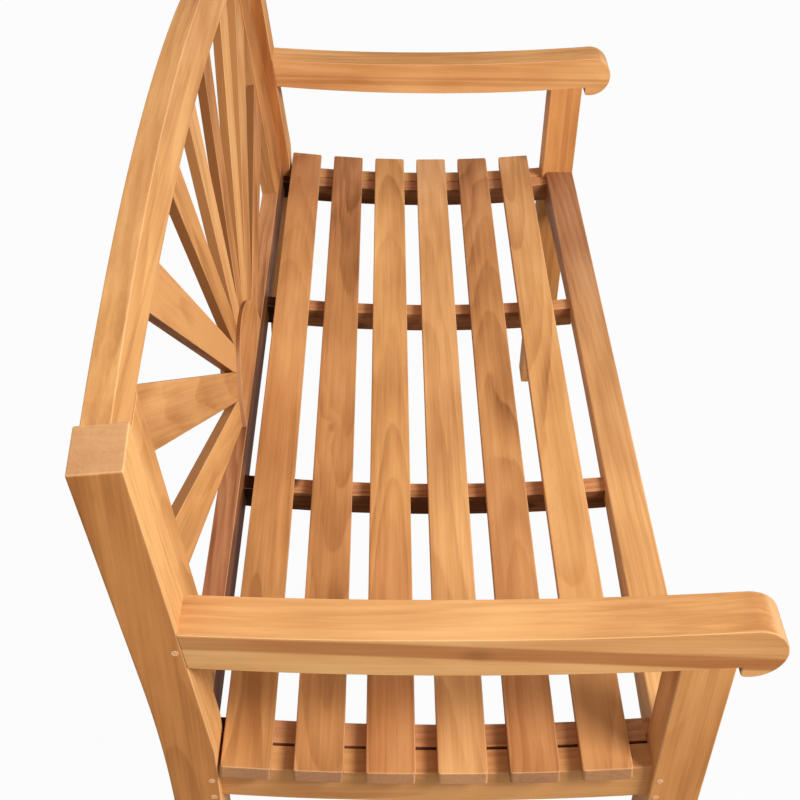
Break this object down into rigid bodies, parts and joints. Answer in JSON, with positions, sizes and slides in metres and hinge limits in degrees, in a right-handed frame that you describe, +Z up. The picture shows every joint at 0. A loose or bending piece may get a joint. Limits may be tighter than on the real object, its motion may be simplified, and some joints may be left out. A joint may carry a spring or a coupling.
{
  "type": "garden bench",
  "caption": "Slatted wooden garden bench with curved arms and an arched back that holds a sunburst of tapered rays.",
  "frame": {"origin": "on the ground, under the middle of the bench's bounding box", "axes": "+X along the bench to the viewer's right as seen from the front, +Y to the back, +Z up"},
  "size_m": [1.2, 0.6017, 0.896],
  "materials": {
    "teak_pale": "smooth bare teak, pale board",
    "teak_golden": "smooth bare teak, golden board",
    "teak_brown": "smooth bare teak, brown board",
    "teak_red": "smooth bare teak, reddish board",
    "wood_pin": "end grain of a glued dowel",
    "screw_steel": "plain stainless screw"
  },
  "bodies": {
    "root": {"rear_leg_left": "teak_golden", "rear_leg_right": "teak_golden", "front_leg_left": "teak_golden", "front_leg_right": "teak_golden", "arm_left": "teak_pale", "arm_right": "teak_pale", "side_rail_left": "teak_brown", "side_rail_right": "teak_brown", "front_rail": "teak_pale", "rear_rail": "teak_red", "end_bearer_left": "teak_red", "end_bearer_right": "teak_red", "middle_bearer_left": "teak_red", "middle_bearer_right": "teak_red", "stile_left": "teak_golden", "stile_right": "teak_golden", "top_rail": "teak_golden", "sun_hub": "teak_brown", "ray_1": "teak_golden", "ray_2": "teak_pale", "ray_3": "teak_brown", "ray_4": "teak_golden", "ray_5": "teak_pale", "ray_6": "teak_brown", "ray_7": "teak_golden", "ray_8": "teak_pale", "ray_9": "teak_brown", "seat_slat_1": "teak_golden", "seat_slat_2": "teak_brown", "seat_slat_3": "teak_golden", "seat_slat_4": "teak_pale", "seat_slat_5": "teak_brown", "seat_slat_6": "teak_golden", "joint_pins": "wood_pin", "slat_screws": "screw_steel"}
  },
  "joints": []
}
